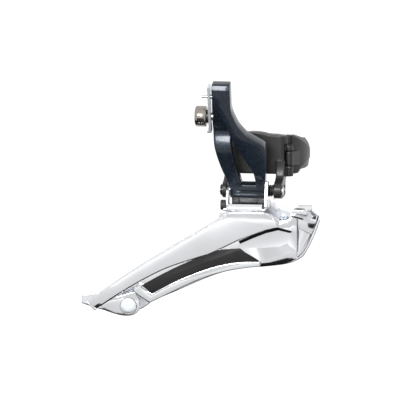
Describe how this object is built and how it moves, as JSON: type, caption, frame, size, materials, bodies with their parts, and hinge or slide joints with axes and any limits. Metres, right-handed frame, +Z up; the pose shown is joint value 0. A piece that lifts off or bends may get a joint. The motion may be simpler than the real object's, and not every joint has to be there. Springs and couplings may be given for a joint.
{
  "type": "front derailleur",
  "caption": "Band-on bicycle front derailleur with a long actuating arm, a parallelogram on fore-and-aft pins, and a plated two-plate cage that moves the chain between chainrings.",
  "frame": {"origin": "centre of the seat tube clamp, on the tube's axis at the band's mid height", "axes": "+Z up along the seat tube, +X towards the bicycle's front, +Y inboard across the bicycle, so -Y is the drive side"},
  "size_m": [0.1101, 0.0745, 0.1083],
  "materials": {
    "satin_black": "satin",
    "slate_flake": "metallic flake gloss",
    "dark_steel": "black oxide",
    "zinc_steel": "bright zinc",
    "polished_steel": "polished",
    "pin_steel": "ground",
    "spring_steel": "drawn wire",
    "bronze": "sintered",
    "black_plastic": "matte",
    "chrome_plate": "polished",
    "gloss_black": "gloss",
    "nylon": "matte"
  },
  "bodies": {
    "base": {"base_bracket": "satin_black", "clamp_hinge_pin": "dark_steel", "clamp_washer": "zinc_steel", "outer_base_pin": "pin_steel", "inner_base_pin": "pin_steel", "base_pin_clips": "dark_steel", "return_spring": "spring_steel", "spring_bush": "black_plastic"},
    "clamp_half": {"clamp_band": "satin_black"},
    "clamp_screw": {"clamp_bolt": "zinc_steel"},
    "clamp_fixing_nut": {"clamp_nut": "zinc_steel"},
    "arm": {"long_arm": "slate_flake", "arm_bushes": "bronze", "cable_plate": "zinc_steel", "cable_guide_pin": "zinc_steel"},
    "cable_clamp_screw": {"cable_bolt": "polished_steel", "cable_collar": "dark_steel"},
    "rear_link": {"inner_link": "satin_black"},
    "cage": {"cage_bracket": "chrome_plate", "outer_cage_pin": "pin_steel", "inner_cage_pin": "pin_steel", "cage_pin_clips": "dark_steel", "stop_bumper": "black_plastic", "cage_outer_plate": "chrome_plate", "groove_lining": "gloss_black", "cage_inner_plate": "chrome_plate", "skid_pad": "nylon", "bracket_rivets": "pin_steel", "bridge_rivets": "pin_steel", "tail_spacer": "zinc_steel", "tail_nut": "zinc_steel"},
    "tail_fixing_screw": {"tail_screw": "polished_steel"},
    "low_screw": {"low_limit_screw": "dark_steel"},
    "high_screw": {"high_limit_screw": "dark_steel"}
  },
  "joints": [
    {"name": "arm_swing", "type": "hinge", "parent": "base", "child": "arm", "pos_m": [0, -0.03, -0.0116], "axis": [-1, 0, 0], "range_deg": [0, 28], "stiffness_Nm_per_rad": 0.5, "springref_deg": -34.38},
    {"name": "rear_link_swing", "type": "hinge", "parent": "base", "child": "rear_link", "pos_m": [0, -0.0218, -0.0124], "axis": [-1, 0, 0], "range_deg": [0, 28]},
    {"name": "cage_swing", "type": "hinge", "parent": "arm", "child": "cage", "pos_m": [0, -0.028, -0.0306], "axis": [1, 0, 0], "range_deg": [0, 28]},
    {"name": "clamp_open", "type": "hinge", "parent": "base", "child": "clamp_half", "pos_m": [0.01199, -0.01712, 0], "axis": [0, 0, 1], "range_deg": [-3, 0]},
    {"name": "clamp_nut_travel", "type": "slide", "parent": "base", "child": "clamp_fixing_nut", "axis": [0.829, 0.5592, 0], "range_m": [0, 0.0028]},
    {"name": "clamp_bolt_turn", "type": "hinge", "parent": "base", "child": "clamp_screw", "pos_m": [-0.01297, 0.01923, 0], "axis": [-0.829, -0.5592, 0], "continuous": true},
    {"name": "cable_bolt_travel", "type": "slide", "parent": "arm", "child": "cable_clamp_screw", "axis": [-1, 0, 0], "range_m": [0, 0.003]},
    {"name": "tail_screw_travel", "type": "slide", "parent": "cage", "child": "tail_fixing_screw", "axis": [0, -1, 0], "range_m": [0, 0.014]},
    {"name": "low_limit_turn", "type": "hinge", "parent": "base", "child": "low_screw", "pos_m": [-0.0092, -0.021, 0.006], "axis": [0, -1, 0], "continuous": true},
    {"name": "high_limit_turn", "type": "hinge", "parent": "base", "child": "high_screw", "pos_m": [-0.0034, -0.021, 0.006], "axis": [0, -1, 0], "continuous": true}
  ],
  "couplings": [
    {"joint": "rear_link_swing", "follows": "arm_swing", "ratio": 1},
    {"joint": "cage_swing", "follows": "arm_swing", "ratio": 1},
    {"joint": "clamp_nut_travel", "follows": "clamp_open", "m_per_rad": -0.053}
  ]
}
